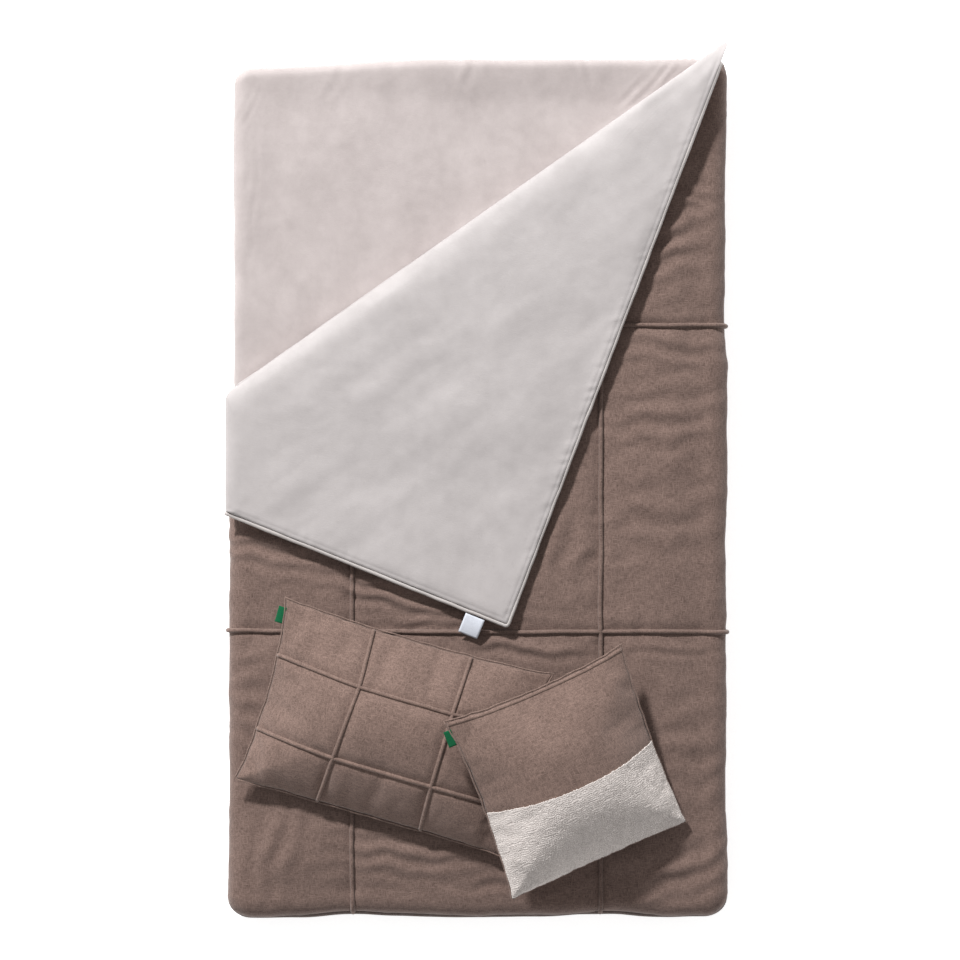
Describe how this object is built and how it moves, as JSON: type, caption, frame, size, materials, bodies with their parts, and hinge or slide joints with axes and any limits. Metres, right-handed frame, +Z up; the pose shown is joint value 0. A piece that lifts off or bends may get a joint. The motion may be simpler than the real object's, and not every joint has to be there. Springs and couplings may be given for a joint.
{
  "type": "infrared sauna blanket",
  "caption": "Padded heated base with a quilted heated cover, one corner turned back over it to show the lining, and two loose matching cushions on top.",
  "frame": {"origin": "centre of the footprint, on the surface the blanket lies on", "axes": "+Z up, +Y towards the head end, +X towards the side where the cover is sewn to the base"},
  "size_m": [1.0368, 1.7872, 0.2653],
  "materials": {
    "wool_cloth": "dry wool-look weave, mid taupe brown, matt",
    "lining_cloth": "smooth pale grey-beige sateen, soft sheen",
    "base_cloth": "smooth pale warm grey sateen, soft sheen",
    "looped_cloth": "cream looped pile",
    "piping": "pale corded piping",
    "wadding": "white polyester wadding",
    "foam": "open-cell foam",
    "metallised_film": "bright metallised film",
    "felt": "dark carrier felt",
    "wire_sleeve": "silicone-sleeved heating wire",
    "barrier": "smooth coated barrier film",
    "black_plastic": "moulded, matt",
    "pin_metal": "plated, bright",
    "sensor_body": "pale ceramic bead",
    "label_cloth": "plain white woven label, blank",
    "tag_cloth": "plain dark green woven tag, blank"
  },
  "bodies": {
    "base": {"base_underside_cloth": "wool_cloth", "base_boxing": "wool_cloth", "base_foam_pad": "foam", "base_reflective_film": "metallised_film", "base_heater_felt": "felt", "base_heating_wire": "wire_sleeve", "temperature_sensor": "sensor_body", "thermal_cutout": "sensor_body", "base_moisture_barrier": "barrier", "base_comfort_wadding": "wadding", "base_top_cloth": "base_cloth", "base_side_piping": "piping", "heater_lead": "black_plastic", "power_inlet_housing": "black_plastic", "power_inlet_pin_left": "pin_metal", "power_inlet_pin_right": "pin_metal", "cover_lining": "lining_cloth", "cover_heater_felt": "felt", "cover_heating_wire": "wire_sleeve", "cover_heater_lead": "black_plastic", "cover_wadding": "wadding", "cover_outer_cloth": "wool_cloth", "cover_tuck_cords": "wool_cloth", "cover_hem_piping": "piping"},
    "turned_corner": {"corner_outer_cloth": "wool_cloth", "corner_wadding": "wadding", "corner_lining": "lining_cloth", "corner_tuck_cord_left": "wool_cloth", "corner_tuck_cord_right": "wool_cloth", "corner_tuck_cord_cross": "wool_cloth", "corner_piping": "piping"},
    "corner_margin": {"margin_outer_cloth": "wool_cloth", "margin_wadding": "wadding", "margin_lining": "lining_cloth", "margin_tuck_cord": "wool_cloth", "margin_piping": "piping"},
    "care_label_body": {"care_label": "label_cloth"},
    "long_cushion": {"long_cushion_fill": "wadding", "long_cushion_front_cloth": "wool_cloth", "long_cushion_back_cloth": "wool_cloth", "long_cushion_zip": "black_plastic"},
    "long_cushion_tag_body": {"long_cushion_tag": "tag_cloth"},
    "square_cushion": {"square_cushion_fill": "wadding", "square_cushion_front_cloth": "wool_cloth", "square_cushion_front_boucle": "looped_cloth", "square_cushion_back_cloth": "wool_cloth", "square_cushion_zip": "black_plastic"},
    "square_cushion_tag_body": {"square_cushion_tag": "tag_cloth"}
  },
  "joints": [
    {"name": "corner_fold", "type": "hinge", "parent": "base", "child": "turned_corner", "pos_m": [-0.518, 0.184, 0.0996], "axis": [-0.8189, -0.574, 0], "range_deg": [0, 180]},
    {"name": "margin_droop", "type": "hinge", "parent": "turned_corner", "child": "corner_margin", "pos_m": [-0.518, 0.184, 0.1285], "axis": [-0.94, 0.3411, 0], "range_deg": [0, 15]},
    {"name": "label_swing", "type": "hinge", "parent": "corner_margin", "child": "care_label_body", "pos_m": [-0.00432, -0.27441, 0.1162], "axis": [-0.9279, 0.3729, 0], "range_deg": [-15, 60], "stiffness_Nm_per_rad": 0.001},
    {"name": "long_cushion_lift", "type": "slide", "parent": "base", "child": "long_cushion", "axis": [0, 0, 1], "range_m": [0, 0.3]},
    {"name": "long_cushion_tag_swing", "type": "hinge", "parent": "long_cushion", "child": "long_cushion_tag_body", "pos_m": [-0.40021, -0.27123, 0.1479], "axis": [0.2756, 0.9613, 0], "range_deg": [-45, 45], "stiffness_Nm_per_rad": 0.0001},
    {"name": "square_cushion_lift", "type": "slide", "parent": "long_cushion", "child": "square_cushion", "axis": [0, 0, 1], "range_m": [0, 0.3]},
    {"name": "square_cushion_tag_swing", "type": "hinge", "parent": "square_cushion", "child": "square_cushion_tag_body", "pos_m": [-0.05089, -0.51408, 0.24941], "axis": [-0.3613, 0.9268, 0.1024], "range_deg": [-45, 45], "stiffness_Nm_per_rad": 0.0001}
  ]
}
